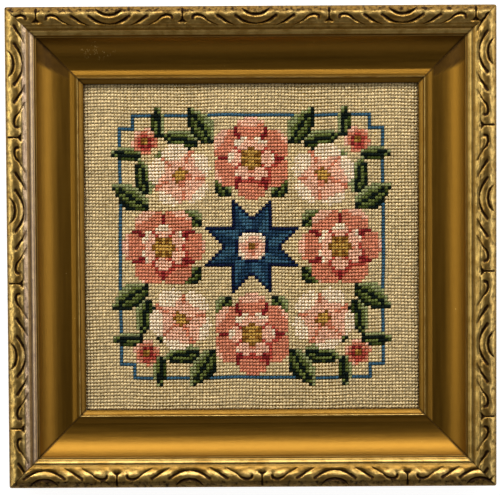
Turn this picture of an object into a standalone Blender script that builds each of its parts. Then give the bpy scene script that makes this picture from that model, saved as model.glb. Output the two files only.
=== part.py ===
"""A needlepoint canvas panel held in a mitred, carved and gilded wooden frame.

The frame lies on its back. +X runs to the right and +Y to the top of the stitched face,
+Z points out of the face, and the origin is the middle of the frame's flat back.
Sizes are in metres, written in millimetres times MM.

Four lengths of one moulding are mitred at the corners. The moulding's section is given as
(inward, height): the distance in from the frame's outer edge, and the height above its back.
The stitched canvas is one sheet, whose edges lie in the rabbet under the moulding's lip.
"""

import math

import bmesh
import bpy
from mathutils import Matrix, Vector

MM = 0.001

# The stitched face that shows, and the moulding round it
SIGHT_WIDTH = 254.0 * MM
SIGHT_HEIGHT = 248.0 * MM
RAIL_WIDTH = 57.15 * MM
FRAME_DEPTH = 30.0 * MM
OUTER_WIDTH = SIGHT_WIDTH + 2 * RAIL_WIDTH
OUTER_HEIGHT = SIGHT_HEIGHT + 2 * RAIL_WIDTH
SEAT_GAP = 0.3 * MM

# The carved roll along the outer edge, which runs out in a plain slope
ROLL_INWARD = 6.9 * MM
ROLL_RADIUS = 9.0 * MM
ROLL_HEIGHT = FRAME_DEPTH - ROLL_RADIUS
ROLL_END_ANGLE = math.radians(58)
ROLL_STEPS = 7
SLOPE_INWARD = 16.4 * MM
SLOPE_HEIGHT = 26.0 * MM

# The groove, the two reeds, the quirk and the fillet between the carving and the cove
GROOVE_INWARD = 17.1 * MM
GROOVE_HEIGHT = 24.9 * MM
QUIRK_INWARD = 22.0 * MM
QUIRK_HEIGHT = 24.0 * MM
FILLET_INWARD = 22.5 * MM
FILLET_END = 23.1 * MM
FILLET_HEIGHT = 24.4 * MM

# The wide cove that falls to the lip, and the ledge that rises again on its far side
COVE_START = 23.4 * MM
COVE_END = 46.7 * MM
COVE_BOTTOM_INWARD = 47.3 * MM
COVE_BOTTOM_HEIGHT = 12.3 * MM
COVE_RADIUS = 31.0 * MM
COVE_STEPS = 9
LEDGE_INWARD = 51.4 * MM
LEDGE_HEIGHT = 13.8 * MM

# The chamfer from the fine bead down to the sight edge
CHAMFER_START = 54.1 * MM
CHAMFER_START_HEIGHT = 12.9 * MM
CHAMFER_END = 56.8 * MM
CHAMFER_END_HEIGHT = 11.15 * MM
SIGHT_EDGE_HEIGHT = 10.6 * MM

# The reeds and the bead are rounded towards the sight edge only:
# inward and height of the middle of the round, its radius, and the angles where it starts and ends
ROUNDS = {
    "outer reed": (17.9 * MM, 24.0 * MM, 2.0 * MM, 110, 35),
    "inner reed": (19.7 * MM, 23.6 * MM, 1.9 * MM, 85, 25),
    "bead": (52.6 * MM, 13.05 * MM, 1.25 * MM, 110, 15),
}
ROUND_STEPS = 4

# The rabbet behind the lip
RABBET_WIDTH = 6.35 * MM
RABBET_HEIGHT = 9.8 * MM

# The carving repeats along each rail; a bar marks the start of each repeat
REPEAT = 109.6 * MM
BAR_PHASE = {
    "bottom": 7.0 * MM,
    "top": -58.8 * MM,
    "right": -18.5 * MM,
    "left": 26.1 * MM,
}
GOUGE_SINK = 0.2 * MM
GOUGE_RUN_OUT = 0.9 * MM
GOUGE_BEVEL_RESOLUTION = 1

# Each gouge: name, half width of the cut, whether it is repeated mirrored about the bar,
# and its route as (along from the bar, inward from the outer edge)
GOUGES = (
    ("bar", 0.85 * MM, False, ((0, 2.4), (0, 7.0), (0, 11.8))),
    (
        "hook",
        0.95 * MM,
        True,
        ((7.4, 9.8), (7.9, 7.6), (11.4, 6.7), (15.4, 8.0), (19.0, 11.0), (23.6, 13.8)),
    ),
    ("leaf", 1.1 * MM, True, ((26.6, 7.4), (30.2, 9.9), (36.0, 13.4))),
    (
        "shell",
        0.95 * MM,
        False,
        ((40.0, 7.8), (44.4, 10.9), (49.4, 12.9), (54.8, 13.5), (60.2, 12.9), (65.2, 10.9), (69.6, 7.8)),
    ),
    (
        "crescent",
        1.0 * MM,
        False,
        ((44.9, 2.8), (49.4, 5.7), (54.8, 6.9), (60.2, 5.7), (64.7, 2.8)),
    ),
)

# The stitched canvas
CANVAS_THICKNESS = 2.4 * MM
CANVAS_WIDTH = SIGHT_WIDTH + 2 * (RABBET_WIDTH - SEAT_GAP)
CANVAS_HEIGHT = SIGHT_HEIGHT + 2 * (RABBET_WIDTH - SEAT_GAP)
CANVAS_TOP = RABBET_HEIGHT - SEAT_GAP
CANVAS_STEPS = 24
WAVE_RISE = 0.45 * MM
WAVE_EDGE = 24.0 * MM

GILT = ("gilt_wood", (0.56, 0.36, 0.11, 1.0), 0.38, 0.85)
WOOL = ("needlepoint", (0.50, 0.40, 0.26, 1.0), 0.95, 0.0)


def clear_scene():
    for old in list(bpy.data.objects):
        bpy.data.objects.remove(old, do_unlink=True)


def new_collection(name):
    made = bpy.data.collections.new(name)
    bpy.context.scene.collection.children.link(made)
    return made


def new_material(name, colour, roughness, metallic):
    made = bpy.data.materials.new(name)
    made.use_nodes = True
    shader = made.node_tree.nodes["Principled BSDF"]
    shader.inputs["Base Color"].default_value = colour
    shader.inputs["Roughness"].default_value = roughness
    shader.inputs["Metallic"].default_value = metallic
    made.diffuse_color = colour
    return made


def arc(centre, radii, start, end, steps):
    """Points on an ellipse's arc, from angle start to angle end."""
    return [
        (
            centre[0] + radii[0] * math.cos(start + (end - start) * i / steps),
            centre[1] + radii[1] * math.sin(start + (end - start) * i / steps),
        )
        for i in range(steps + 1)
    ]


def named_round(name):
    inward, height, radius, start, end = ROUNDS[name]
    return arc((inward, height), (radius, radius), math.radians(start), math.radians(end), ROUND_STEPS)


def roll_end():
    """Where the carved roll runs out into the plain slope."""
    return (
        ROLL_INWARD + ROLL_RADIUS * math.cos(ROLL_END_ANGLE),
        ROLL_HEIGHT + ROLL_RADIUS * math.sin(ROLL_END_ANGLE),
    )


def carved_height(inward):
    """Height of the uncut surface under the carving, at a distance in from the outer edge."""
    end_inward, end_height = roll_end()
    if inward < end_inward:
        share = (inward - ROLL_INWARD) / ROLL_RADIUS
        return ROLL_HEIGHT + ROLL_RADIUS * math.sqrt(1 - share * share)
    fall = (end_height - SLOPE_HEIGHT) / (SLOPE_INWARD - end_inward)
    return end_height - fall * (inward - end_inward)


def moulding_section():
    """The moulding's outline, from the back's outer corner up over the face to the rabbet."""
    down = -math.pi / 2
    points = [(0.0, 0.0)]
    points += arc(
        (ROLL_INWARD, ROLL_HEIGHT),
        (ROLL_RADIUS, ROLL_RADIUS),
        math.pi - math.acos(ROLL_INWARD / ROLL_RADIUS),
        ROLL_END_ANGLE,
        ROLL_STEPS,
    )
    points += [(SLOPE_INWARD, SLOPE_HEIGHT), (GROOVE_INWARD, GROOVE_HEIGHT)]
    points += named_round("outer reed") + named_round("inner reed")
    points += [
        (QUIRK_INWARD, QUIRK_HEIGHT),
        (FILLET_INWARD, FILLET_HEIGHT),
        (FILLET_END, FILLET_HEIGHT),
    ]
    points += arc(
        (COVE_BOTTOM_INWARD, COVE_BOTTOM_HEIGHT + COVE_RADIUS),
        (COVE_RADIUS, COVE_RADIUS),
        down - math.asin((COVE_BOTTOM_INWARD - COVE_START) / COVE_RADIUS),
        down - math.asin((COVE_BOTTOM_INWARD - COVE_END) / COVE_RADIUS),
        COVE_STEPS,
    )
    points += [(LEDGE_INWARD, LEDGE_HEIGHT)]
    points += named_round("bead")
    points += [
        (CHAMFER_START, CHAMFER_START_HEIGHT),
        (CHAMFER_END, CHAMFER_END_HEIGHT),
        (RAIL_WIDTH, SIGHT_EDGE_HEIGHT),
        (RAIL_WIDTH, RABBET_HEIGHT),
        (RAIL_WIDTH - RABBET_WIDTH, RABBET_HEIGHT),
        (RAIL_WIDTH - RABBET_WIDTH, 0.0),
    ]
    return points


def mesh_from_curve(source, name, collection):
    """Turns a curve object into a closed mesh object in the same place, and removes the curve."""
    place = source.matrix_world.copy()
    evaluated = source.evaluated_get(bpy.context.evaluated_depsgraph_get())
    mesh = bpy.data.meshes.new_from_object(evaluated)
    mesh.name = name
    bm = bmesh.new()
    bm.from_mesh(mesh)
    bmesh.ops.remove_doubles(bm, verts=bm.verts, dist=0.00001)
    bmesh.ops.recalc_face_normals(bm, faces=bm.faces)
    bm.to_mesh(mesh)
    bm.free()
    made = bpy.data.objects.new(name, mesh)
    collection.objects.link(made)
    made.matrix_world = place
    bpy.data.objects.remove(source, do_unlink=True)
    return made


def moulding_length(name, length, collection):
    """A square-ended length of moulding along X, its outer edge on Y 0 and its back on Z 0."""
    data = bpy.data.curves.new(name + "_section", "CURVE")
    data.dimensions = "2D"
    data.fill_mode = "BOTH"
    data.extrude = length / 2
    section = moulding_section()
    spline = data.splines.new("POLY")
    spline.points.add(len(section) - 1)
    for point, (inward, height) in zip(spline.points, section):
        point.co = (inward, height, 0.0, 1.0)
    spline.use_cyclic_u = True
    section_object = bpy.data.objects.new(name + "_section", data)
    collection.objects.link(section_object)
    # The curve's own X, Y and Z become the rail's inward, height and along
    section_object.matrix_world = Matrix(((0, 0, 1, 0), (1, 0, 0, 0), (0, 1, 0, 0), (0, 0, 0, 1)))
    bpy.context.view_layer.update()
    made = mesh_from_curve(section_object, name, collection)
    made.data.transform(made.matrix_world)
    made.matrix_world = Matrix.Identity(4)
    return made


def as_cutter(cutter):
    cutter.hide_render = True
    cutter.display_type = "WIRE"
    return cutter


def mitre_cutter(name, length, end, collection):
    """A block that takes the corner off one end of a rail; end is 1 at +X and -1 at -X."""
    size = 3 * RAIL_WIDTH
    reach = Vector((end * length / 2, 0.0, FRAME_DEPTH / 2))
    outward = Vector((end, 1.0, 0.0)).normalized()
    bm = bmesh.new()
    bmesh.ops.create_cube(bm, size=size)
    mesh = bpy.data.meshes.new(name)
    bm.to_mesh(mesh)
    bm.free()
    cutter = bpy.data.objects.new(name, mesh)
    collection.objects.link(cutter)
    cutter.rotation_euler.z = math.radians(45)
    cutter.location = reach + outward * (size / 2 - SEAT_GAP / 2)
    return as_cutter(cutter)


def gouge_starts(length, phase):
    """Where the bar of each repeat lies along a rail, with one more repeat past each end."""
    first = math.floor((-length / 2 - phase) / REPEAT) - 1
    last = math.ceil((length / 2 - phase) / REPEAT) + 1
    return [phase + REPEAT * count for count in range(first, last + 1)]


def carving_cutter(name, length, phase, collection):
    """Every gouge along one rail as a round-bottomed groove that runs out at its ends, in one cutter."""
    data = bpy.data.curves.new(name, "CURVE")
    data.dimensions = "3D"
    data.bevel_depth = 1.0
    data.bevel_resolution = GOUGE_BEVEL_RESOLUTION
    data.use_fill_caps = True
    reach = length / 2
    for start in gouge_starts(length, phase):
        for _, half_width, mirrored, route in GOUGES:
            for side in (1, -1) if mirrored else (1,):
                points = [(start + side * along * MM, inward * MM) for along, inward in route]
                if max(abs(along) for along, _ in points) > reach:
                    continue
                spline = data.splines.new("POLY")
                spline.points.add(len(points) - 1)
                for i, (point, (along, inward)) in enumerate(zip(spline.points, points)):
                    at_end = i in (0, len(points) - 1)
                    lift = GOUGE_RUN_OUT if at_end else -GOUGE_SINK
                    point.co = (along, inward, carved_height(inward) + lift, 1.0)
                    point.radius = half_width
    tubes = bpy.data.objects.new(name, data)
    collection.objects.link(tubes)
    bpy.context.view_layer.update()
    return as_cutter(mesh_from_curve(tubes, name, collection))


def cut(target, cutter):
    boolean = target.modifiers.new(cutter.name, "BOOLEAN")
    boolean.operation = "DIFFERENCE"
    boolean.solver = "EXACT"
    boolean.object = cutter


def rail(side, length, turn, place, material, parts, cutters):
    """One mitred and carved length of moulding, turned and moved to its side of the frame."""
    made = moulding_length("rail_" + side, length, parts)
    tools = [carving_cutter("carving_" + side, length, BAR_PHASE[side], cutters)]
    tools += [
        mitre_cutter("mitre_%s_%s" % (side, label), length, end, cutters)
        for label, end in (("far", 1), ("near", -1))
    ]
    for tool in tools:
        cut(made, tool)
    made.data.materials.append(material)
    anchor = bpy.data.objects.new("side_" + side, None)
    parts.objects.link(anchor)
    for item in (made, *tools):
        item.parent = anchor
    anchor.rotation_euler.z = turn
    anchor.location = place
    return made


def canvas_wave(x, y):
    """How far the stretched canvas stands off flat: gentle swells that die out at the rabbet."""
    edge = min(CANVAS_WIDTH / 2 - abs(x), CANVAS_HEIGHT / 2 - abs(y))
    hold = max(0.0, min(1.0, (edge - RABBET_WIDTH) / WAVE_EDGE))
    hold = hold * hold * (3 - 2 * hold)
    swell = math.sin(19.0 * x + 8.0 * y + 0.6) + 0.7 * math.sin(-11.0 * x + 31.0 * y + 1.9)
    return WAVE_RISE * hold * swell / 1.7


def canvas_panel(material, parts):
    """The stitched canvas: one stretched sheet whose edges lie in the rabbet."""
    bm = bmesh.new()
    bmesh.ops.create_grid(bm, x_segments=CANVAS_STEPS, y_segments=CANVAS_STEPS, size=0.5)
    for vert in bm.verts:
        x, y = vert.co.x * CANVAS_WIDTH, vert.co.y * CANVAS_HEIGHT
        vert.co = (x, y, CANVAS_TOP + canvas_wave(x, y))
    mesh = bpy.data.meshes.new("canvas_panel")
    bm.to_mesh(mesh)
    bm.free()
    made = bpy.data.objects.new("canvas_panel", mesh)
    parts.objects.link(made)
    thicken = made.modifiers.new("thickness", "SOLIDIFY")
    thicken.thickness = CANVAS_THICKNESS
    thicken.offset = -1.0
    mesh.materials.append(material)
    return made


def build():
    clear_scene()
    parts = new_collection("framed_needlepoint_panel")
    cutters = new_collection("cutters")
    gilt = new_material(*GILT)
    wool = new_material(*WOOL)
    quarter = math.pi / 2
    half_width, half_height = OUTER_WIDTH / 2, OUTER_HEIGHT / 2
    rail("bottom", OUTER_WIDTH, 0.0, (0, -half_height, 0), gilt, parts, cutters)
    rail("right", OUTER_HEIGHT, quarter, (half_width, 0, 0), gilt, parts, cutters)
    rail("top", OUTER_WIDTH, 2 * quarter, (0, half_height, 0), gilt, parts, cutters)
    rail("left", OUTER_HEIGHT, -quarter, (-half_width, 0, 0), gilt, parts, cutters)
    canvas_panel(wool, parts)
    bpy.context.view_layer.update()


build()
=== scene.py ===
"""A wool needlepoint panel in a carved and gilded frame, dressed over its packed frame.

Run as a script, this makes four mitred mouldings with their carving, the canvas, the tent
stitches of the needlework in one piece for each wool, and a stage to see them on.
The frame lies on its back: +X right, +Y up the stitched face, +Z out of it. Metres throughout.
"""

import math

import bmesh
import bpy
import numpy as np
from bpy.props import FloatProperty, FloatVectorProperty, IntProperty, PointerProperty
from mathutils import Matrix, Vector


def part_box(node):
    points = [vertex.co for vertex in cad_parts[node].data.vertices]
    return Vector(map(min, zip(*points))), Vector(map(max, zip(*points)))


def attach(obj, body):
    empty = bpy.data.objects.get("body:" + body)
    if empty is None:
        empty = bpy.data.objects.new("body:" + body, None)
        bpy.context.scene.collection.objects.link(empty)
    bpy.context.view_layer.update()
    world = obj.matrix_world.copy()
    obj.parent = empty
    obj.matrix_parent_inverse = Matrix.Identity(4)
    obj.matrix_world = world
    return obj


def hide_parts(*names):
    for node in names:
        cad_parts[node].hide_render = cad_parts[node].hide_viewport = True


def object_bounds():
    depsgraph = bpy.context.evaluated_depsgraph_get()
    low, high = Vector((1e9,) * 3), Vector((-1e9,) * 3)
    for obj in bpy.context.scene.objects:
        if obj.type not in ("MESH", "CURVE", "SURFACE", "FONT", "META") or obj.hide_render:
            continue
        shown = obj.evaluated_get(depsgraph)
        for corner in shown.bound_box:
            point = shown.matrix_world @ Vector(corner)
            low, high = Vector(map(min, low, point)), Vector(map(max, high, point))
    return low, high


bl_info = {
    "name": "Framed needlepoint panel",
    "version": (1, 0, 0),
    "blender": (4, 5, 0),
    "location": "View3D > Sidebar > Needlepoint",
    "description": "Builds a wool needlepoint panel in a carved and gilded frame",
    "category": "Object",
}

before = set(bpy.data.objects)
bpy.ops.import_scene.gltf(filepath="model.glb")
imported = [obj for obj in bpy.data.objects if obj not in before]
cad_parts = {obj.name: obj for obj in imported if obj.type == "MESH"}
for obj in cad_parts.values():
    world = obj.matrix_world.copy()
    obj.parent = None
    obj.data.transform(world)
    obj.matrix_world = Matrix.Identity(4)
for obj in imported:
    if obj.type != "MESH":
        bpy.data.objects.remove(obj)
CAD_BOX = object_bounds()

MM = 0.001
BODY = "root"

# The frame's outer size and the rails' width come from the packed solids
OUTER_WIDTH = (CAD_BOX[1] - CAD_BOX[0]).x
OUTER_HEIGHT = (CAD_BOX[1] - CAD_BOX[0]).y
RAIL_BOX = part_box("rail_bottom")
RAIL_WIDTH = (RAIL_BOX[1] - RAIL_BOX[0]).y
SIGHT_WIDTH = OUTER_WIDTH - 2 * RAIL_WIDTH
SIGHT_HEIGHT = OUTER_HEIGHT - 2 * RAIL_WIDTH
CANVAS_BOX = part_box("canvas_panel")
CANVAS_WIDTH = (CANVAS_BOX[1] - CANVAS_BOX[0]).x
CANVAS_HEIGHT = (CANVAS_BOX[1] - CANVAS_BOX[0]).y

# The moulding's section, as (inward from the outer edge, height above the back), in mm
ROLL_CENTRE = (6.9, 20.9)
ROLL_RADIUS = 9.0
ROLL_END = math.radians(58)
ARRIS = ((0.0, 26.0), (0.12, 26.45), (0.35, 26.85))
SLOPE_END = (16.4, 26.0)
GROOVE = (17.8, 25.42)
QUIRK = (22.05, 23.6)
FILLET = ((22.12, 24.5), (23.1, 24.1))
COVE = (23.4, 46.4)
COVE_BOTTOM = (47.3, 12.3)
COVE_RADIUS = 31.0
LEDGE = ((46.7, 12.34), (47.2, 12.46), (50.0, 13.34), (50.7, 13.45), (51.6, 13.45))
CHAMFER = (
    (53.3, 12.5),
    (53.5, 12.45),
    (53.7, 12.36),
    (54.8, 11.8),
    (55.9, 11.25),
    (56.6, 11.0),
    (57.15, 10.75),
)
RABBET = (6.35, 9.8)
CORNER_EASE = 0.35
# Rows of bare wood after the lip: the rabbet, the back and its corners
BARE_ROWS = 5

# The reeds and the bead: middle, radius, and the angles in degrees where the round starts and ends
OUTER_REED = ((18.15, 23.9), 2.0, 98, 48)
INNER_REED = ((20.15, 22.95), 1.95, 82, 24)
BEAD = ((52.25, 12.85), 0.8, 94, 6)

REED_GAP = 19.9

# How many steps each stretch of the section takes
ROLL_STEPS = 26
SLOPE_STEPS = 12
ROUND_STEPS = 7
COVE_STEPS = 26
SIDE_STEPS = 5

# Where the umber wash and the painted shade of the dark lines lie in the plain section, between the reeds,
# in the quirks by the fillet, by the bead and down the lip's inner edge: inward, reach and strength
WASH_AND_SHADE_LINES = (
    (19.8, 0.25, 0.15),
    (22.0, 0.3, 0.6),
    (23.5, 0.3, 0.35),
    (53.35, 0.2, 0.6),
    (57.2, 0.6, 0.95),
)
# The umber wash on the outer flank of the rails that no hand touches, partly dirt and partly painted shade that
# dulls the flank where the lights would catch it: places inward, and the strength at each
FLANK_GRIME_AND_SHADE = ((-1.5, 0.5, 2.0, 3.4, 4.2, 5.2), (0.30, 0.35, 0.5, 0.6, 0.4, 0.0))
# Where the gilding is rubbed pale in the plain section, partly wear and partly painted highlight on the crowns:
# inward, reach and strength
RUBS_AND_HIGHLIGHTS = (
    (18.7, 0.9, 1.0),
    (20.5, 0.6, 1.0),
    (22.5, 0.4, 0.9),
    (52.55, 0.45, 0.7),
    (54.9, 0.9, 0.10),
)

# Fine stations along the carving, and how many of them one plain station spans
CARVING_STATION = 0.45 * MM
STATIONS_PER_PLAIN = 6

# Carving: name, half widths at its start, middle and end, depth, and its route as
# (along from the bar, inward from the outer edge), in mm; the other side is its mirror image
GOUGES = (
    ("bar", (0.85, 0.7, 0.95), 1.6, ((0.0, 2.2), (0.0, 7.0), (0.0, 11.4))),
    ("bar foot", (1.4, 0.8, 0.2), 1.2, ((0.0, 11.0), (1.7, 11.8), (3.6, 12.3))),
    (
        "hook",
        (1.35, 1.15, 0.3),
        1.45,
        ((7.6, 9.4), (8.3, 7.6), (11.4, 6.7), (15.4, 8.0), (19.2, 11.2), (26.5, 14.6)),
    ),
    ("leaf", (1.5, 1.05, 0.25), 1.4, ((26.4, 7.4), (29.8, 9.8), (33.6, 12.3), (39.5, 14.6))),
    ("shell", (1.5, 0.95, 0.5), 1.4, ((39.6, 7.4), (44.2, 10.8), (49.4, 12.9), (54.8, 13.5))),
    ("crescent", (0.35, 1.05, 1.3), 1.5, ((44.4, 1.8), (47.2, 4.2), (50.4, 6.0), (54.8, 6.8))),
)
# Worn dents in the outer half-round: along, inward, radius along, radius inward and depth, in mm
DENTS = (
    (20.0, 2.9, 2.0, 1.3, 0.55),
    (12.5, 1.6, 1.2, 1.0, 0.25),
    (31.5, 1.9, 1.6, 1.0, 0.30),
    (39.0, 2.4, 3.4, 1.2, 0.45),
)
# How many times wider a gouge is on its inner side, which is a long facet
FACET = 1.8
VALLEY_DEPTH = 0.35
VALLEY_RADIUS = 1.9
# The ridge along the carving's inner edge, and the rubbed line inside it, both rubbed pale, partly as painted
# highlight
RIDGE_INWARD = 13.1
RIDGE_HALF_WIDTH = 0.55
RUBBED_LINE = (15.3, 0.5)
REPEAT = 109.6 * MM
ROUTE_SAMPLES = 10
MITRE_GRIME = 0.7
# Each side: where its first bar stands along it in mm, how much its outer flank and its ridges
# are rubbed, partly by hands and partly as painted highlight and painted shade that follow the
# lights, the end that has the painted shadow by the top mitre, and its painted lilac sheen
SIDES = {
    "bottom": (7.0, 0.1, 1.1, 0, 0.0),
    "top": (-58.8, 0.0, 0.3, 0, 0.0),
    "right": (-18.5, 0.9, 1.05, 1, 0.0),
    "left": (26.1, 1.0, 1.2, -1, 0.55),
}
# The painted shadow in the side coves by the top mitre, laid on as umber: its reach from the top edge at
# the fillet, how much further it reaches for each mm inward, its soft edge in mm, and its strength
PAINTED_CORNER_SHADOW = (41.5, 0.55, 2.5, 0.58)
CORNER_RADIUS = 2.0 * MM
# A scratched patch on the top rail's cove: its middle and its half widths
SCUFF_PLACE = (-0.116, 0.150, 0.017)
SCUFF_REACH = (0.015, 0.009, 0.02)

# Stitches across and up the canvas, under the lip too
STITCH_COLUMNS = 104
STITCH_ROWS = 102
GROUND_BANDS = 3
# How far the stitches' middle and the canvas lie below the top of the rabbet, in mm, and how far
# the canvas's back lies above the solid sheet's
STITCH_BELOW = 1.85
CANVAS_BELOW = 2.35
REVERSE_RISE = 0.35 * MM

# Wools: name, what it is used for, and its colour
WOOLS = (
    ("oatmeal", "the plain ground", (0.77, 0.59, 0.31)),
    ("ivory", "petal tips and the star's heart", (1.0, 0.80, 0.56)),
    ("blush", "outer petals", (0.98, 0.55, 0.37)),
    ("coral", "middle of the petals", (0.76, 0.27, 0.15)),
    ("rose", "shaded petals", (0.52, 0.085, 0.055)),
    ("crimson", "the seams between petals", (0.25, 0.02, 0.02)),
    ("gold", "flower centres", (0.60, 0.34, 0.07)),
    ("ochre", "stamens", (0.28, 0.12, 0.02)),
    ("willow", "lit leaf edges", (0.33, 0.35, 0.15)),
    ("sage", "leaves in the light", (0.145, 0.175, 0.043)),
    ("olive", "leaves in the shade", (0.052, 0.070, 0.013)),
    ("pine", "leaf veins and shadows", (0.006, 0.012, 0.008)),
    ("delft", "the border and the star", (0.046, 0.12, 0.185)),
    ("cobalt", "the star's shaded facets", (0.018, 0.052, 0.10)),
    ("navy", "the star's outline", (0.005, 0.010, 0.040)),
)
WOOL_NAMES = [wool[0] for wool in WOOLS]


def colour_property(label, description, default):
    return FloatVectorProperty(
        name=label, description=description, subtype="COLOR", size=3, min=0.0, max=1.0, default=default
    )


def length_property(label, description, default):
    return FloatProperty(
        name=label, description=description, default=default, unit="LENGTH", precision=5, min=0.0
    )


class MouldingSettings(bpy.types.PropertyGroup):
    """Sizes and colours of the carved and gilded mouldings."""

    joint_gap: length_property("Mitre gap", "Width of the open joint at each corner", 0.06 * MM)
    gouge_depth: FloatProperty(
        name="Gouge depth", description="Share of the full depth that the gouges are cut to", default=1.0
    )
    ridge_rise: length_property("Ridge", "Rise of the ridge along the carving's inner edge", 0.4 * MM)
    lump_rise: length_property("Lumps", "Unevenness of the carved surface", 0.2 * MM)
    gold: colour_property("Gold", "The gilding where it is whole", (0.270, 0.131, 0.0140))
    # The umber also lays painted shade in the quirks, the grooves, the outer flanks and the side coves by the top
    # mitre
    umber: colour_property("Umber", "The dark wash in the hollows", (0.028, 0.012, 0.0032))
    # The pale gold also lays painted highlights where the rub attribute carries them
    pale: colour_property("Pale gold", "The gilding where it is rubbed", (0.80, 0.54, 0.17))
    # This colour is a painted lilac sheen, a reflection laid on one moulding's rubbed gilding
    film: colour_property("Film", "The greyish bloom on one moulding's worn gilding", (0.70, 0.52, 0.44))
    bare_wood: colour_property("Bare wood", "The back of the mouldings", (0.34, 0.20, 0.096))
    roughness: FloatProperty(name="Roughness", description="Roughness of the gilding", default=0.39)


class NeedleworkSettings(bpy.types.PropertyGroup):
    """Sizes of the canvas and of its tent stitches."""

    pitch: length_property("Pitch", "Distance between two stitches, at ten to the inch", 2.54 * MM)
    stitch_length: length_property("Stitch length", "Length of the wool over one stitch", 3.0 * MM)
    stitch_width: length_property("Stitch width", "Width of the wool over one stitch", 2.25 * MM)
    stitch_rise: length_property("Stitch rise", "Thickness of the wool over one stitch", 1.5 * MM)
    slant: FloatProperty(
        name="Slant", description="Angle of a stitch from its row", unit="ROTATION", default=math.radians(32)
    )
    drift: length_property("Drift", "How far rows and columns wander", 0.55 * MM)
    swell: length_property("Swell", "How far the canvas stands off flat", 0.45 * MM)
    seed: IntProperty(name="Seed", description="Seed of the stitches' unevenness", default=7)


class WoolSettings(bpy.types.PropertyGroup):
    """The colour of each wool."""

    __annotations__ = {name: colour_property(name.title(), use, tint) for name, use, tint in WOOLS}


class StageSettings(bpy.types.PropertyGroup):
    """The camera, the lights and the floor."""

    camera_height: length_property("Camera height", "Height of the camera above the floor", 1.187)
    camera_ahead: length_property("Camera ahead", "How far the camera is towards the top", 0.0411)
    camera_tilt: FloatProperty(
        name="Camera tilt", description="Turn about the panel's width", unit="ROTATION", default=-0.0353
    )
    camera_roll: FloatProperty(
        name="Camera roll", description="Turn about the view", unit="ROTATION", default=-0.0055
    )
    lens: FloatProperty(name="Lens", description="Focal length on a 36 mm sensor, in mm", default=111.2)
    key_power: FloatProperty(name="Key light", description="Power from the panel's top", default=29.4)
    side_power: FloatProperty(name="Side lights", description="Power from each side", default=7.0)
    low_power: FloatProperty(name="Low light", description="Power near the floor at the top", default=1.9)
    left_tint: colour_property("Left tint", "Colour of the left side light", (1.0, 1.0, 0.9))
    right_tint: colour_property("Right tint", "Colour of the right side light", (0.93, 0.95, 1.0))
    back_power: FloatProperty(name="Back light", description="Power from the panel's foot", default=1.2)
    sky: FloatProperty(name="Room light", description="Strength of the even light", default=0.019)
    floor: colour_property("Floor", "The floor's colour", (0.36, 0.36, 0.36))
    floor_glow: FloatProperty(name="Floor glow", description="Light that the floor gives off", default=0.90)


def node(tree, kind, **settings):
    """Adds a shader or geometry node and sets its properties."""
    made = tree.nodes.new(kind)
    for name, value in settings.items():
        setattr(made, name, value)
    return made


def connect(tree, socket, value):
    """Links an input to a node's output, or sets it to a plain value."""
    if isinstance(value, bpy.types.NodeSocket):
        tree.links.new(value, socket)
    else:
        socket.default_value = value


def feed(tree, target, **values):
    """Sets or links a node's inputs, with underscores for the spaces in their names."""
    for name, value in values.items():
        connect(tree, target.inputs[name.replace("_", " ")], value)
    return target


def math_node(tree, operation, first, second=0.5):
    made = node(tree, "ShaderNodeMath", operation=operation)
    for socket, value in zip(made.inputs, (first, second)):
        connect(tree, socket, value)
    return made.outputs[0]


def mix_colour(tree, share, first, second, blend="MIX"):
    made = node(tree, "ShaderNodeMix", data_type="RGBA", blend_type=blend)
    for socket, value in ((made.inputs[0], share), (made.inputs[6], first), (made.inputs[7], second)):
        connect(tree, socket, value)
    return made.outputs[2]


def remap(tree, value, low, high, to_low=0.0, to_high=1.0):
    made = node(tree, "ShaderNodeMapRange", clamp=True)
    feed(tree, made, Value=value, From_Min=low, From_Max=high, To_Min=to_low, To_Max=to_high)
    return made.outputs["Result"]


def noise(tree, vector, scale, detail=3.0, roughness=0.55):
    made = node(tree, "ShaderNodeTexNoise")
    feed(tree, made, Vector=vector, Scale=scale, Detail=detail, Roughness=roughness)
    return made.outputs["Fac"]


def stretched(tree, vector, scale):
    made = node(tree, "ShaderNodeMapping")
    feed(tree, made, Vector=vector, Scale=scale)
    return made.outputs["Vector"]


def opaque(colour):
    return (*colour, 1.0)


def group_tree(name, inputs, outputs):
    """A shader node group with its sockets, as (name, socket kind) rows."""
    tree = bpy.data.node_groups.new(name, "ShaderNodeTree")
    for label, kind in inputs:
        tree.interface.new_socket(label, in_out="INPUT", socket_type=kind)
    for label, kind in outputs:
        tree.interface.new_socket(label, in_out="OUTPUT", socket_type=kind)
    return tree, node(tree, "NodeGroupInput").outputs, node(tree, "NodeGroupOutput")


def grain_group():
    """Fine unevenness that every surface shares: slow blotches, fine grain and stray specks."""
    name = "surface grain"
    if name in bpy.data.node_groups:
        return bpy.data.node_groups[name]
    tree, given, result = group_tree(
        name,
        (("Vector", "NodeSocketVector"), ("Blotch scale", "NodeSocketFloat"), ("Grain scale", "NodeSocketFloat")),
        (("Blotch", "NodeSocketFloat"), ("Grain", "NodeSocketFloat"), ("Speck", "NodeSocketFloat")),
    )
    blotch = noise(tree, given["Vector"], given["Blotch scale"], 4.0, 0.6)
    grain = noise(tree, given["Vector"], given["Grain scale"], 2.0, 0.5)
    spots = node(tree, "ShaderNodeTexVoronoi", feature="F1")
    feed(tree, spots, Vector=given["Vector"], Scale=given["Blotch scale"], Randomness=1.0)
    speck = remap(tree, spots.outputs["Distance"], 0.035, 0.075, 1.0, 0.0)
    sparse = remap(tree, blotch, 0.56, 0.62)
    tree.links.new(blotch, result.inputs["Blotch"])
    tree.links.new(grain, result.inputs["Grain"])
    tree.links.new(math_node(tree, "MULTIPLY", speck, sparse), result.inputs["Speck"])
    return tree


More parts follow.
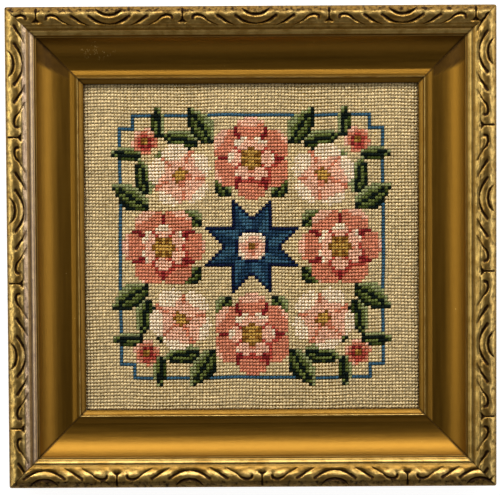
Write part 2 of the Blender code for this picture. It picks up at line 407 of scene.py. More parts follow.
def new_material(name):
    material = bpy.data.materials.new(name)
    material.use_nodes = True
    return material, material.node_tree, material.node_tree.nodes["Principled BSDF"]


def grain_node(tree, vector, blotch_scale, grain_scale):
    grain = node(tree, "ShaderNodeGroup", node_tree=grain_group())
    feed(tree, grain, Vector=vector, Blotch_scale=blotch_scale, Grain_scale=grain_scale)
    return grain.outputs


def bump(tree, height, distance, strength=1.0):
    made = node(tree, "ShaderNodeBump")
    feed(tree, made, Height=height, Distance=distance, Strength=strength)
    return made.outputs["Normal"]


def scuff_mask(tree, place):
    """A patch of hair-thin scratches on the top rail's cove."""
    patch = node(tree, "ShaderNodeMapping", vector_type="TEXTURE")
    feed(tree, patch, Vector=place, Location=SCUFF_PLACE, Scale=SCUFF_REACH)
    away = node(tree, "ShaderNodeVectorMath", operation="LENGTH")
    tree.links.new(patch.outputs["Vector"], away.inputs[0])
    wavy = math_node(tree, "SUBTRACT", noise(tree, place, 130.0, 3.0, 0.6), 0.5)
    line = math_node(tree, "ABSOLUTE", wavy, 0.0)
    thin = remap(tree, line, 0.004, 0.014, 1.0, 0.0)
    broken = remap(tree, noise(tree, place, 420.0, 1.0, 0.5), 0.46, 0.54)
    inside = remap(tree, away.outputs["Value"], 0.6, 1.0, 1.0, 0.0)
    return math_node(tree, "MULTIPLY", math_node(tree, "MULTIPLY", thin, broken), inside)


def gilt_material(sizes):
    """Antique gold over wood: rubbed pale on ridges, washed with umber in the hollows, with painted shade laid on
    in the umber and painted highlights in the pale gold.
    """
    material, tree, shader = new_material("antique gilt")
    place = node(tree, "ShaderNodeTexCoord").outputs["Object"]
    along = node(tree, "ShaderNodeUVMap", uv_map="moulding").outputs["UV"]
    recess = node(tree, "ShaderNodeAttribute", attribute_name="recess").outputs["Fac"]
    rub = node(tree, "ShaderNodeAttribute", attribute_name="rub").outputs["Fac"]
    grain = grain_node(tree, place, 120.0, 1500.0)
    streak = noise(tree, stretched(tree, along, (14.0, 420.0, 1.0)), 1.0, 3.0, 0.6)
    uneven = math_node(tree, "ADD", math_node(tree, "MULTIPLY", grain["Blotch"], 0.7), streak)
    gold = mix_colour(
        tree,
        remap(tree, uneven, 0.60, 1.10),
        opaque([value * share for value, share in zip(sizes.gold, (0.90, 0.88, 0.82))]),
        opaque(sizes.gold),
    )
    # Rubbed gilding and painted highlights, both in the pale gold
    patchy = math_node(tree, "MULTIPLY", rub, remap(tree, grain["Blotch"], 0.38, 0.58, 0.4, 1.0))
    rubbed = mix_colour(tree, patchy, gold, opaque(sizes.pale))
    # Painted lilac sheen on one moulding's rubbed gilding
    film = node(tree, "ShaderNodeAttribute", attribute_name="film").outputs["Fac"]
    rubbed = mix_colour(tree, film, rubbed, opaque(sizes.film))
    marks = math_node(tree, "MULTIPLY", scuff_mask(tree, place), 0.9)
    marks = math_node(tree, "MAXIMUM", marks, math_node(tree, "MULTIPLY", grain["Speck"], 0.5))
    dusty = mix_colour(tree, marks, rubbed, opaque(sizes.pale))
    # The umber wash: patina in the cuts, dents and mitres, and painted shade in the quirks, the grooves, the outer
    # flanks and the side coves by the top mitre
    wash = math_node(tree, "ADD", recess, math_node(tree, "MULTIPLY", grain["Blotch"], 0.35))
    carved = node(tree, "ShaderNodeAttribute", attribute_name="carved").outputs["Fac"]
    mottle = remap(tree, noise(tree, place, 360.0, 2.0, 0.6), 0.46, 0.70, 0.0, 0.34)
    wash = math_node(tree, "ADD", wash, math_node(tree, "MULTIPLY", mottle, carved))
    washed = remap(tree, wash, 0.28, 0.95)
    dull = math_node(tree, "MULTIPLY", washed, 0.3)
    matt = math_node(tree, "ADD", dull, remap(tree, streak, 0.3, 0.7, -0.03, 0.03))
    feed(
        tree,
        shader,
        Base_Color=mix_colour(tree, washed, dusty, opaque(sizes.umber)),
        Roughness=math_node(tree, "ADD", matt, sizes.roughness),
        Normal=bump(tree, math_node(tree, "ADD", grain["Grain"], streak), 0.00012, 0.5),
    )
    shader.inputs["Metallic"].default_value = 0.95
    shader.inputs["Coat Weight"].default_value = 0.04
    shader.inputs["Coat Roughness"].default_value = 0.35
    return material


def bare_wood_material(sizes):
    """Planed softwood, a little grubby, for the back of the mouldings and their rabbets."""
    material, tree, shader = new_material("bare wood")
    place = node(tree, "ShaderNodeTexCoord").outputs["Object"]
    along = node(tree, "ShaderNodeUVMap", uv_map="moulding").outputs["UV"]
    grain = grain_node(tree, place, 45.0, 900.0)
    rings = noise(tree, stretched(tree, along, (9.0, 360.0, 1.0)), 1.0, 5.0, 0.65)
    dark = opaque([value * share for value, share in zip(sizes.bare_wood, (0.52, 0.46, 0.40))])
    wood = mix_colour(tree, remap(tree, rings, 0.38, 0.62), dark, opaque(sizes.bare_wood))
    grime = opaque([value * 0.55 for value in sizes.bare_wood])
    feed(
        tree,
        shader,
        Base_Color=mix_colour(tree, remap(tree, grain["Blotch"], 0.48, 0.7, 0.0, 0.6), wood, grime),
        Roughness=remap(tree, rings, 0.3, 0.7, 0.68, 0.86),
        Normal=bump(tree, rings, 0.00025, 0.6),
    )
    return material


def arc(centre, radius, start, end, steps):
    """Points on an arc, in mm, from angle start to angle end."""
    angles = np.linspace(start, end, steps + 1)
    return [(centre[0] + radius * math.cos(angle), centre[1] + radius * math.sin(angle)) for angle in angles]


def rounded(centre, radius, start, end):
    return arc(centre, radius, math.radians(start), math.radians(end), ROUND_STEPS)


def carved_section():
    """The stretch that carries the carving: the half-round and the slope, from outside in, in mm."""
    first = math.pi - math.acos((ROLL_CENTRE[0] - ARRIS[-1][0] - 0.35) / ROLL_RADIUS)
    roll = arc(ROLL_CENTRE, ROLL_RADIUS, first, ROLL_END, ROLL_STEPS)
    start, end = np.array(roll[-1]), np.array(SLOPE_END)
    slope = [tuple(start + (end - start) * i / SLOPE_STEPS) for i in range(1, SLOPE_STEPS + 1)]
    return [*ARRIS, *roll, *slope]


def plain_section():
    """The rest of the section, from the groove over the cove and the lip, round the back, in mm.

    Returns the points and the number of the first one that is bare wood."""
    width = RAIL_WIDTH / MM
    down = -math.pi / 2
    points = [GROOVE, *rounded(*OUTER_REED), *rounded(*INNER_REED), QUIRK, *FILLET]
    start, end = (down - math.asin((COVE_BOTTOM[0] - inward) / COVE_RADIUS) for inward in COVE)
    points += arc((COVE_BOTTOM[0], COVE_BOTTOM[1] + COVE_RADIUS), COVE_RADIUS, start, end, COVE_STEPS)
    points += [*LEDGE, *rounded(*BEAD), *CHAMFER]
    points += [(width, RABBET[1] + CORNER_EASE), (width - CORNER_EASE, RABBET[1])]
    first_bare = len(points) - 1
    inner = width - RABBET[0]
    points += [(inner, RABBET[1]), (inner, CORNER_EASE), (inner - CORNER_EASE, 0.0)]
    points += [(CORNER_EASE, 0.0)]
    side = np.linspace(CORNER_EASE, ARRIS[0][1], SIDE_STEPS)[:-1]
    points += [(0.0, height) for height in side]
    return points, first_bare


def smooth_route(route):
    """Even samples on a smooth curve through a route's points, in mm."""
    given = np.array(route)
    ends = np.vstack([2 * given[0] - given[1], given, 2 * given[-1] - given[-2]])
    samples = []
    for i in range(len(given) - 1):
        before, here, there, after = ends[i : i + 4]
        for share in np.linspace(0, 1, ROUTE_SAMPLES, endpoint=False):
            samples.append(
                0.5
                * (
                    2 * here
                    + (there - before) * share
                    + (2 * before - 5 * here + 4 * there - after) * share**2
                    + (3 * here - before - 3 * there + after) * share**3
                )
            )
    samples.append(given[-1])
    return np.array(samples)


def bell(value, middle, reach):
    """A smooth hill of height 1 round a middle."""
    return np.exp(-(((value - middle) / reach) ** 2))


def groove_painted_shade(deep, hand_wear_and_light, worn):
    """Painted shade laid on as umber in the groove outside the reeds and between them, strongest on the top rail
    and none on the bottom rail; deep in mm.
    """
    strength = max(0.0, 1.2 * (1 - (1 - hand_wear_and_light) * worn) - 0.75 * hand_wear_and_light)
    outside = strength * bell(deep, GROOVE[0] - 0.45, 0.6)
    between = max(0.0, strength - 0.3) * bell(deep, REED_GAP, 0.4)
    return np.maximum(outside, between)


def carving(along, inward, hand_wear_and_light, worn, sizes):
    """The carving's relief at points (along from a bar, inward), as arrays in metres.

    Returns its height over the plain section, how much of each point lies in a cut or in painted
    shade, and how much is rubbed bright or painted as highlight, where the two shares after inward
    are the wear on the flank and on the ridges, which also set each side's painted highlight and shade."""
    fold = np.abs((along + REPEAT / 2) % REPEAT - REPEAT / 2) / MM
    deep = inward / MM
    place = np.stack([fold, deep], -1)
    cut, line_cut, valley = np.zeros(fold.shape), np.zeros(fold.shape), np.zeros(fold.shape)
    nearest = np.full(fold.shape, np.inf)
    for _, widths, depth, route in GOUGES:
        line = smooth_route(route)
        shares = np.linspace(0, 1, len(line))
        width = np.interp(shares, (0.0, 0.5, 1.0), widths)
        fall = np.interp(shares, (0.0, 0.2, 1.0), (0.3 * depth, depth, depth))
        for first, second, half_width, drop in zip(line[:-1], line[1:], width, fall):
            step = second - first
            reach = np.clip(((place - first) @ step) / (step @ step), 0, 1)
            offset = place - first - reach[..., None] * step
            away = np.linalg.norm(offset, axis=-1)
            nearest = np.minimum(nearest, away / half_width)
            inner = offset @ np.array([-step[1], step[0]]) > 0
            wide = np.where(inner, FACET, 1.0) * half_width
            scoop = np.clip(1 - away / wide, 0, 1) ** np.where(inner, 1.2, 0.7)
            cut = np.maximum(cut, drop * min(1.0, half_width) * scoop)
            line_cut = np.maximum(line_cut, min(1.0, half_width) * np.clip(1.25 - away / half_width, 0, 1))
            valley = np.maximum(valley, min(1.0, half_width) * bell(away, 0, VALLEY_RADIUS))
    dent = np.zeros(fold.shape)
    for centre, across, along_radius, across_radius, depth in DENTS:
        away = np.hypot((fold - centre) / along_radius, (deep - across) / across_radius)
        dent = np.maximum(dent, depth * bell(away, 0, 1))
    # A painted highlight beside each gouge, laid on with the rub
    edge = bell(nearest, 1.6, 0.6)
    ridge = bell(deep, RIDGE_INWARD, RIDGE_HALF_WIDTH) * np.clip(nearest - 0.8, 0, 1)
    band = np.clip(deep / 3.0, 0, 1) * np.clip((15.5 - deep) / 2.0, 0, 1)
    lump = np.sin(along / MM * 0.43 + 1.3 * np.sin(along / MM * 0.17)) * np.sin(deep * 0.7 + 0.7)
    lump += 0.25 * np.sin(along / MM * 1.3 + deep * 1.1 + np.sin(along / MM * 0.37))
    lump += 0.4 * np.sin(along / MM * 0.77 - deep * 0.8 + 2.0) * np.sin(along / MM * 0.31 + deep)
    height = -(cut * sizes.gouge_depth + VALLEY_DEPTH * valley * band + dent) * MM
    lit = (1 - hand_wear_and_light) * worn
    height += sizes.ridge_rise * ridge * max(0.0, 1 - lit)
    height += sizes.lump_rise * lump * band * 0.7
    # The rub: rubbed gilding where hands hold the side rails, with painted highlights on the crowns of the lit
    # rails and a painted sheen on the slope
    held = np.clip((7.4 - deep) / 2.6, 0, 1) * np.clip((deep - 1.2) / 1.5, 0.1, 1)
    # A painted highlight on the top rail's roll, in the pale gold
    top_crown_highlight = bell(deep, 5.9, 1.5) * (1 - hand_wear_and_light) * np.clip(1.05 - worn, 0, 1)
    crown = 0.6 * held * hand_wear_and_light + top_crown_highlight + 0.5 * lit * bell(deep, 10.3, 2.0)
    slope = np.clip((deep - 10.2) / 1.6, 0, 1) * (0.22 - 0.12 * lit + 0.55 * hand_wear_and_light * worn)
    slope = slope * np.clip((16.8 - deep) / 2.6 + lit, 0, 1)
    base = (0.19 + 0.22 * worn) * np.clip((13.5 - deep) / 2.5, 0, 1)
    lines = (0.5 - 0.4 * lit) * (ridge + bell(deep, *RUBBED_LINE))
    rub = np.clip(base + 0.25 * edge * band + lines + crown + slope - 0.5 * valley * band, 0, 1)
    # Umber on the outer flank, partly dirt and partly painted shade; the outer arris darker; the groove's painted
    # shade; and the patina in the cuts and dents
    outer = np.interp(deep - 1.3 * lit, *FLANK_GRIME_AND_SHADE) * (1 - hand_wear_and_light) * (0.8 + 0.2 * lit)
    arris = np.clip((1.9 - deep) / 0.8, 0, 1) * 0.35
    grime = np.maximum(np.maximum(outer, arris), groove_painted_shade(deep, hand_wear_and_light, worn))
    grime = np.clip(line_cut + dent * 0.3 + grime, 0, 1)
    return height, grime, rub


def section_normals(section):
    """Outward normals along an open run of section points."""
    points = np.array(section)
    run = np.gradient(points, axis=0)
    across = np.stack([-run[:, 1], run[:, 0]], -1)
    return across / np.linalg.norm(across, axis=1)[:, None]


def rail_rows(section, length, stations, gap):
    """Points of a swept, mitred section as (row, station, along/inward/height), in metres."""
    inward = np.array(section)[:, 0] * MM
    height = np.array(section)[:, 1] * MM
    reach = (length / 2 - inward - gap / 2 * math.sqrt(2))[:, None] * np.linspace(-1, 1, stations + 1)[None]
    shape = reach.shape
    return np.stack([reach, np.broadcast_to(inward[:, None], shape), np.broadcast_to(height[:, None], shape)], -1)


def plain_wash_and_shade(section):
    """How dark the umber wash and the painted shade lie along the plain section: between the reeds, in the quirks,
    by the bead, down the lip's inner edge, and on the outer side, darker towards the back.
    """
    inward, height = np.array(section).T
    wash = (inward < 0.05) * np.clip(1 - height / 6.0, 0, 1) * 0.8
    for centre, reach, strength in WASH_AND_SHADE_LINES:
        wash = np.maximum(wash, strength * bell(inward, centre, reach))
    return wash


def plain_rub_and_highlight(section):
    """Where the plain section is rubbed bright, partly wear and partly painted highlight: the reeds' and the bead's
    crowns.
    """
    inward, height = np.array(section).T
    rub = np.zeros(len(section))
    for centre, reach, strength in RUBS_AND_HIGHLIGHTS:
        rub = np.maximum(rub, strength * bell(inward, centre, reach))
    return rub * (height > RABBET[1] + CORNER_EASE)


def ease_corners(points, length):
    """Rounds the outer corners of a mitred moulding, as seen from the front."""
    over = np.abs(points[..., 0]) - (length / 2 - CORNER_RADIUS)
    short = CORNER_RADIUS - points[..., 1]
    away = np.maximum(np.hypot(over, short), CORNER_RADIUS)
    pull = np.where((over > 0) & (short > 0), CORNER_RADIUS / away, 1.0)
    points[..., 0] -= np.sign(points[..., 0]) * over * (1 - pull)
    points[..., 1] += short * (1 - pull)


def painted_corner_shadow(along, inward, length, end):
    """The painted shadow in a side rail's cove by the top mitre, laid on as umber."""
    start, further, soft, strength = PAINTED_CORNER_SHADOW
    reach = (length / 2 - end * along) / MM
    deep = inward / MM
    inside = np.clip((start + further * (deep - COVE[0]) - reach) / soft + 0.5, 0, 1)
    return strength * inside * ((deep > COVE[0]) & (deep < COVE[1])) * abs(end)


def mitre_grime(length, stations, reach):
    """The grime that fades out within a reach of a moulding's two ends, by station."""
    from_end = (1 - np.abs(np.linspace(-1, 1, stations + 1))) * length / 2
    return MITRE_GRIME * np.clip(1 - from_end / reach, 0, 1)[None]


def lilac_sheen_mask(rub, inward):
    """Where the rubbed gilding carries the painted lilac sheen: the slope inside the carving, and the reeds."""
    deep = inward / MM
    return rub * np.clip((deep - 12.0) / 1.5, 0, 1) * (deep < QUIRK[0])


def rail_mesh(side, length, sizes):
    """One moulding with mitred ends along X, its outer edge on Y 0 and its back on Z 0."""
    name = "moulding_" + side
    phase, hand_wear_and_light, worn, end, film = SIDES[side]
    plain_stations = round(length / CARVING_STATION / STATIONS_PER_PLAIN)
    fine_stations = plain_stations * STATIONS_PER_PLAIN
    carved = carved_section()
    plain, first_bare = plain_section()
    fine = rail_rows(carved, length, fine_stations, sizes.joint_gap)
    coarse = rail_rows(plain, length, plain_stations, sizes.joint_gap)
    rise, recess, rub = carving(fine[..., 0] - phase * MM, fine[..., 1], hand_wear_and_light, worn, sizes)
    normals = section_normals(carved)
    fade = np.ones(len(carved))
    fade[0] = fade[-1] = 0.0
    rise = rise * fade[:, None]
    fine[..., 1] += rise * normals[:, 0:1]
    fine[..., 2] += rise * normals[:, 1:2]
    fine[..., 2] = np.minimum(fine[..., 2], CAD_BOX[1].z)
    recess = np.maximum(recess, mitre_grime(length, fine_stations, 0.9 * MM))
    coarse_ends = mitre_grime(length, plain_stations, 1.2 * MM)
    coarse_patina_and_shade = np.maximum(plain_wash_and_shade(plain)[:, None], coarse_ends)
    # Painted shadow in the side coves by the top mitre
    coarse_patina_and_shade = np.maximum(coarse_patina_and_shade, painted_corner_shadow(coarse[..., 0], coarse[..., 1], length, end))
    # Painted shade in the groove, as umber
    coarse_patina_and_shade = np.maximum(coarse_patina_and_shade, groove_painted_shade(coarse[..., 1] / MM, hand_wear_and_light, worn))
    # A painted highlight in the groove of the rails lit from inside, with the rubbed crowns
    lit_groove = (1 - hand_wear_and_light) * worn * bell(coarse[..., 1] / MM, GROOVE[0], 0.5)
    coarse_rub_and_highlight = np.maximum(plain_rub_and_highlight(plain)[:, None] * (0.8 + 0.2 * worn), 0.55 * lit_groove)
    ease_corners(fine, length)
    ease_corners(coarse, length)

    points = np.concatenate([fine.reshape(-1, 3), coarse.reshape(-1, 3)])
    section = np.array(carved + plain)
    steps = np.linalg.norm(np.diff(section, axis=0, prepend=section[:1]), axis=1)
    run = np.cumsum(steps) * MM
    fine_index = np.arange(fine[..., 0].size).reshape(fine.shape[:2])
    coarse_index = fine_index.size + np.arange(coarse[..., 0].size).reshape(coarse.shape[:2])

    faces = []
    bare = []

    def add_strip(first, second, wood):
        for a, b, c, d in zip(first[:-1], first[1:], second[1:], second[:-1]):
            faces.append((a, b, c, d))
            bare.append(wood)

    for row in range(len(fine_index) - 1):
        add_strip(fine_index[row + 1], fine_index[row], False)
    for row in range(len(coarse_index) - 1):
        wood = first_bare <= row < first_bare + BARE_ROWS
        add_strip(coarse_index[row + 1], coarse_index[row], wood)
    for start in range(plain_stations):
        low = start * STATIONS_PER_PLAIN
        span = fine_index[:, low : low + STATIONS_PER_PLAIN + 1]
        faces.append((coarse_index[0, start], coarse_index[0, start + 1], *span[-1][::-1]))
        faces.append((*span[0], coarse_index[-1, start + 1], coarse_index[-1, start]))
        bare += [False, False]
    faces.append((*fine_index[:, 0], *coarse_index[:, 0]))
    faces.append((*coarse_index[::-1, -1], *fine_index[::-1, -1]))
    bare += [True, True]

    mesh = bpy.data.meshes.new(name)
    mesh.from_pydata(points.tolist(), [], [tuple(int(i) for i in face) for face in faces])
    mesh.polygons.foreach_set("material_index", np.array(bare, dtype=np.int32))
    for label, fine_value, coarse_value in (
        ("recess", recess, coarse_patina_and_shade),
        ("rub", rub, coarse_rub_and_highlight),
        ("film", film * lilac_sheen_mask(rub, fine[..., 1]), film * lilac_sheen_mask(coarse_rub_and_highlight, coarse[..., 1])),
        ("carved", np.ones(rub.shape), np.zeros(coarse_rub_and_highlight.shape)),
    ):
        values = np.concatenate([fine_value.ravel(), coarse_value.ravel()]).astype(np.float32)
        mesh.attributes.new(label, "FLOAT", "POINT").data.foreach_set("value", values)
    across = np.concatenate(
        [
            np.broadcast_to(run[: len(carved), None], fine.shape[:2]).ravel(),
            np.broadcast_to(run[len(carved) :, None], coarse.shape[:2]).ravel(),
        ]
    )
    corner = np.zeros(len(mesh.loops), dtype=np.int32)
    mesh.loops.foreach_get("vertex_index", corner)
    layer = mesh.uv_layers.new(name="moulding")
    layer.data.foreach_set("uv", np.stack([points[corner, 0], across[corner]], -1).astype(np.float32).ravel())
    mesh.shade_smooth()
    mesh.set_sharp_from_angle(angle=math.radians(38))
    return mesh


def place_rail(mesh, turn, offset):
    """Moves a moulding's mesh to its side of the frame, and leaves its object unturned."""
    mesh.transform(Matrix.Translation(offset) @ Matrix.Rotation(turn, 4, "Z"))
    made = bpy.data.objects.new(mesh.name, mesh)
    bpy.context.scene.collection.objects.link(made)
    return made


def swell(x, y, rise):
    """How far the canvas stands off flat: gentle swells that die out at the rabbet."""
    edge = np.minimum(CANVAS_WIDTH / 2 - np.abs(x), CANVAS_HEIGHT / 2 - np.abs(y))
    hold = np.clip((edge - RABBET[0] * MM) / (24 * MM), 0, 1)
    hold = hold * hold * (3 - 2 * hold)
    wave = np.sin(19.0 * x + 8.0 * y + 0.6) + 0.7 * np.sin(-11.0 * x + 31.0 * y + 1.9)
    return rise * hold * wave / 1.7


def wander(x, y, drift):
    """Where a point of the canvas lies once its rows and columns have wandered a little."""
    edge = np.minimum(CANVAS_WIDTH / 2 - np.abs(x), CANVAS_HEIGHT / 2 - np.abs(y))
    hold = np.clip(edge / (10 * MM), 0, 1)
    side = np.sin(52.0 * y + 0.8 * np.sin(23.0 * x) + 0.4) + 0.5 * np.sin(121.0 * y - 31.0 * x)
    rise = np.sin(61.0 * x + 0.9 * np.sin(29.0 * y) + 2.0) + 0.6 * np.sin(143.0 * x + 37.0 * y + 1.0)
    return x + drift * hold * side * 0.5, y + drift * hold * rise * 0.62


class Chart:
    """The needlework's chart: the wool of each stitch, painted one motif over another.

    x and y are the stitches' places in stitches from the middle of the panel."""

    def __init__(self):
        columns = np.arange(STITCH_COLUMNS) - (STITCH_COLUMNS - 1) / 2
        rows = np.arange(STITCH_ROWS) - (STITCH_ROWS - 1) / 2
        self.x, self.y = np.meshgrid(columns, rows)
        self.wool = np.zeros(self.x.shape, dtype=int)

    def paint(self, where, wool):
        self.wool[where] = WOOL_NAMES.index(wool)

    def polar(self, centre, turn=0.0):
        x, y = self.x - centre[0], self.y - centre[1]
        return np.hypot(x, y), np.arctan2(y, x) - turn

    def shades(self, where, tone, wools):
        """Paints a region in bands of wools, from tone 0 to tone 1."""
        band = np.clip((tone * len(wools)).astype(int), 0, len(wools) - 1)
        for i, wool in enumerate(wools):
            self.paint(where & (band == i), wool)

    def leaf(self, root, direction, length, width):
        """A pointed leaf with a dark vein, its upper half lit."""
        x, y = self.x - root[0], self.y - root[1]
        along = x * math.cos(direction) + y * math.sin(direction)
        across = -x * math.sin(direction) + y * math.cos(direction)
        share = np.clip(along / length, 0, 1)
        half = width * np.sin(math.pi * share**0.8) ** 0.9
        inside = (along > 0) & (along < length) & (np.abs(across) < half)
        lit = across * math.copysign(1.0, math.cos(direction)) / np.maximum(half, 0.1)
        self.shades(inside, 0.5 - 0.5 * lit, ("willow", "sage", "sage", "olive"))
        self.paint(inside & (np.abs(across) < 0.55) & (share < 0.85), "pine")
        self.paint(inside & (lit < -0.72), "pine")

    def rosette(self, centre, radius, petals, turn, wools, ring=None):
        """An open flower of round petals, paler towards the tips and dark at the seams."""
        distance, angle = self.polar(centre, turn)
        lobe = np.abs(np.cos(petals * angle / 2))
        edge = radius * (0.78 + 0.22 * lobe**0.7)
        inside = distance < edge
        light = 0.10 * np.cos(angle + turn - math.radians(120))
        tone = distance / edge * 0.78 + 0.30 * lobe - 0.16 + light
        self.shades(inside, tone, wools)
        seam = (lobe < 0.20) & (distance > radius * 0.35)
        self.paint(inside & seam, wools[0])
        if ring:
            self.rosette(centre, radius * 0.56, petals, turn + math.pi / petals, ring)
        self.paint(distance < radius * 0.21, "gold")
        stamen = (distance > radius * 0.12) & (distance < radius * 0.27) & (np.cos(petals * angle) > 0.35)
        self.paint(stamen, "ochre")

    def star(self, radius, valley):
        """An eight-pointed patchwork star with a light and a dark facet to each point."""
        distance, angle = self.polar((0, 0), math.pi / 8)
        point = math.pi / 4
        fold = np.abs((angle + point / 2) % point - point / 2)
        edge = radius * valley * math.sin(point / 2)
        edge = edge / (radius * np.sin(fold) + valley * np.sin(point / 2 - fold))
        lit = ((angle + point / 2) % point) > point / 2
        self.paint(distance < edge, "delft")
        self.paint((distance < edge) & lit, "cobalt")
        self.paint((distance < edge) & (distance > edge - 1.15), "navy")
        heart = distance < valley * 0.62
        self.paint(heart, "navy")
        self.rosette((0, 0), valley * 0.58, 4, math.pi / 4, ("coral", "blush", "ivory"))

    def border(self, half_width, half_height, step):
        """A thin line round the ground with stepped corners."""
        x, y = np.abs(self.x), np.abs(self.y)
        corner_x, corner_y = half_width - step, half_height - step
        line = (np.abs(x - half_width) < 0.5) & (y <= corner_y)
        line |= (np.abs(y - half_height) < 0.5) & (x <= corner_x)
        line |= (np.abs(x - corner_x) < 0.5) & (y >= corner_y - 0.5) & (y <= half_height)
        line |= (np.abs(y - corner_y) < 0.5) & (x >= corner_x - 0.5) & (x <= half_width)
        self.paint(line, "delft")


LARGE_ROSE = ("crimson", "rose", "rose", "coral", "coral", "blush")
ROSE_HEART = ("rose", "coral", "blush", "blush", "ivory")
PALE_ROSE = ("coral", "blush", "blush", "ivory", "ivory")
BUD = ("crimson", "rose", "coral", "blush")
# Leaves on each side of a quarter's middle line: angle and distance of the root from the middle
# of the panel, heading from the quarter's middle line, length and width
WREATH_LEAVES = (
    (0.36, 33.0, 0.55, 13.0, 3.6),
    (0.47, 35.0, 1.35, 11.0, 3.0),
    (0.42, 16.0, 0.52, 9.0, 2.8),
    (0.72, 39.0, 2.75, 9.0, 2.4),
    (0.70, 43.0, 0.05, 9.5, 2.4),
)


def at_angle(angle, reach):
    return reach * math.cos(angle), reach * math.sin(angle)


def needlework_chart():
    """A wreath of roses round a star, with a sprig in each corner of a thin border."""
    chart = Chart()
    chart.border(39.5, 39.5, 4)
    quarters = [quarter * math.pi / 2 for quarter in range(4)]
    for middle in quarters:
        for side in (-1, 1):
            for angle, reach, heading, length, width in WREATH_LEAVES:
                root = at_angle(middle + side * angle, reach)
                chart.leaf(root, middle + side * heading, length, width)
    for middle in quarters:
        corner = middle + math.pi / 4
        chart.rosette(at_angle(corner, 45.0), 4.2, 5, corner, BUD)
        chart.rosette(at_angle(corner, 30.5), 9.6, 5, corner + math.pi, PALE_ROSE)
    for middle in quarters:
        chart.rosette(at_angle(middle, 26.5), 12.4, 6, middle, LARGE_ROSE, ring=ROSE_HEART)
    chart.star(15.0, 8.2)
    return chart


def yarn_group():
    """Wool: two plies that twist round each other along a stitch, with a fuzz of fine fibres, and painted shade in
    dull brown on each stitch's lower flank.
    """
    name = "yarn"
    if name in bpy.data.node_groups:
        return bpy.data.node_groups[name]
    tree, given, result = group_tree(
        name,
        (
            ("Colour", "NodeSocketColor"),
            ("Shade", "NodeSocketFloat"),
            ("Stitch UV", "NodeSocketVector"),
            ("Place", "NodeSocketVector"),
        ),
        (("Colour", "NodeSocketColor"), ("Height", "NodeSocketFloat")),
    )
    parts = node(tree, "ShaderNodeSeparateXYZ")
    tree.links.new(given["Stitch UV"], parts.inputs[0])
    twist = math_node(
        tree,
        "ADD",
        math_node(tree, "MULTIPLY", parts.outputs["X"], 11.0),
        math_node(tree, "MULTIPLY", parts.outputs["Y"], 12.566),
    )
    ply = math_node(tree, "ABSOLUTE", math_node(tree, "SINE", twist, 0.0), 0.0)
    fuzz = noise(tree, given["Place"], 2600.0, 3.0, 0.7)
    patch = noise(tree, given["Place"], 55.0, 3.0, 0.6)
    tint = math_node(tree, "ADD", math_node(tree, "MULTIPLY", given["Shade"], 0.34), 0.66)
    tint = math_node(tree, "ADD", tint, math_node(tree, "MULTIPLY", patch, 0.30))
    tint = math_node(tree, "MULTIPLY", tint, remap(tree, ply, 0.0, 0.35, 0.80, 1.0))
    tint = math_node(tree, "MULTIPLY", tint, remap(tree, fuzz, 0.3, 0.7, 0.88, 1.10))
    upward = math_node(tree, "SINE", math_node(tree, "MULTIPLY", parts.outputs["Y"], math.tau), 0.0)
    grey = node(tree, "ShaderNodeCombineColor")
    for socket in grey.inputs:
        tree.links.new(tint, socket)
    # Painted shade: the lower flank of each stitch, and bands of the canvas between rows, in a duller brown
    flank_shade = mix_colour(tree, 1.0, given["Colour"], opaque((0.50, 0.39, 0.13)), "MULTIPLY")
    shaded_below = mix_colour(tree, remap(tree, upward, -0.1, 0.6), flank_shade, given["Colour"])
    tinted = mix_colour(tree, 1.0, shaded_below, grey.outputs[0], "MULTIPLY")
    tree.links.new(tinted, result.inputs["Colour"])
    tree.links.new(math_node(tree, "ADD", ply, math_node(tree, "MULTIPLY", fuzz, 0.5)), result.inputs["Height"])
    return tree


def wool_material(name, colour):
    material, tree, shader = new_material(name + " wool")
    yarn = node(tree, "ShaderNodeGroup", node_tree=yarn_group())
    feed(
        tree,
        yarn,
        Colour=opaque(colour),
        Shade=node(tree, "ShaderNodeAttribute", attribute_name="shade").outputs["Fac"],
        Stitch_UV=node(tree, "ShaderNodeUVMap", uv_map="stitch").outputs["UV"],
        Place=node(tree, "ShaderNodeTexCoord").outputs["Object"],
    )
    feed(
        tree,
        shader,
        Base_Color=yarn.outputs["Colour"],
        Normal=bump(tree, yarn.outputs["Height"], 0.00018, 0.8),
    )
    shader.inputs["Roughness"].default_value = 0.88
    shader.inputs["Specular IOR Level"].default_value = 0.06
    shader.inputs["Sheen Weight"].default_value = 0.015
    shader.inputs["Sheen Roughness"].default_value = 0.4
    return material


def canvas_material():
    """Ecru cotton threads that cross in both directions, with painted shade near black in the holes between them.
    """
    material, tree, shader = new_material("cotton canvas")
    place = node(tree, "ShaderNodeTexCoord").outputs["Object"]
    grain = grain_node(tree, place, 60.0, 2200.0)
    parts = node(tree, "ShaderNodeSeparateXYZ")
    tree.links.new(place, parts.inputs[0])
    threads = []
    for axis in ("X", "Y"):
        wave = math_node(tree, "SINE", math_node(tree, "MULTIPLY", parts.outputs[axis], math.tau / 0.00127), 0.0)
        threads.append(math_node(tree, "ABSOLUTE", wave, 0.0))
    weave = math_node(tree, "MAXIMUM", threads[0], threads[1])
    # The holes between the threads are painted near black as shade
    cloth = mix_colour(tree, remap(tree, weave, 0.45, 0.8), opaque((0.03, 0.02, 0.008)), opaque((0.24, 0.17, 0.08)))
    feed(
        tree,
        shader,
        Base_Color=mix_colour(tree, remap(tree, grain["Blotch"], 0.4, 0.7, 0.0, 0.35), cloth, opaque((0.2, 0.15, 0.09))),
        Normal=bump(tree, math_node(tree, "ADD", weave, grain["Grain"]), 0.0003),
    )
    shader.inputs["Roughness"].default_value = 0.92
    return material


